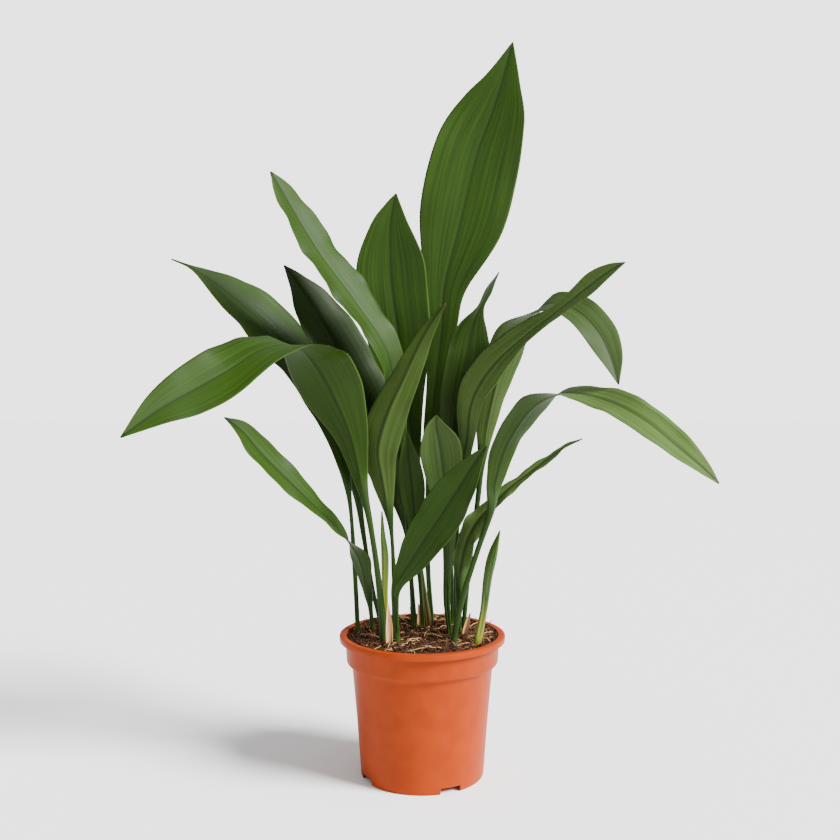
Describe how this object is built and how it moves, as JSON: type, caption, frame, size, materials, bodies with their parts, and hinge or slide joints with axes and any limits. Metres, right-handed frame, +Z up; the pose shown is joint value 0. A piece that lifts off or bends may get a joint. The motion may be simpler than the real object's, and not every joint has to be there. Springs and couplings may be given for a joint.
{
  "type": "potted plant",
  "caption": "Potted cast iron plant: broad arching leaves on slim stalks rising from dark soil in a round tapered terracotta-coloured plastic nursery pot with a rolled lip and notched foot",
  "frame": {"origin": "centre of the pot's foot, on the ground under the pot's axis, which is the bounding box's bottom centre within 3 mm", "axes": "+Z up along the pot's axis, -Y the front that the plant is shown from, +X to the right seen from the front"},
  "size_m": [0.5188, 0.339, 0.7522],
  "materials": {
    "pot_plastic": "semi-gloss moulded polypropylene",
    "soil": null,
    "leaf_green": null,
    "shoot_green": null,
    "papery_sheath": "matte dry sheath"
  },
  "bodies": {
    "root": {"nursery_pot": "pot_plastic", "potting_soil": "soil", "tall_leaf": "leaf_green", "upper_centre_leaf": "leaf_green", "upper_left_leaf": "leaf_green", "second_left_leaf": "leaf_green", "big_left_leaf": "leaf_green", "dark_left_leaf": "leaf_green", "low_left_leaf": "leaf_green", "back_left_leaf": "leaf_green", "pale_front_leaf": "leaf_green", "front_dark_leaf": "leaf_green", "short_broad_leaf": "leaf_green", "small_dark_leaf": "leaf_green", "narrow_curled_leaf": "leaf_green", "right_arching_leaf": "leaf_green", "right_drooping_leaf": "leaf_green", "right_low_leaf": "leaf_green", "narrow_right_leaf": "leaf_green", "rolled_left_shoot": "shoot_green", "right_shoot": "shoot_green", "centre_shoot": "shoot_green", "left_sheath": "papery_sheath", "right_sheath": "papery_sheath", "centre_sheath": "papery_sheath"}
  },
  "joints": []
}
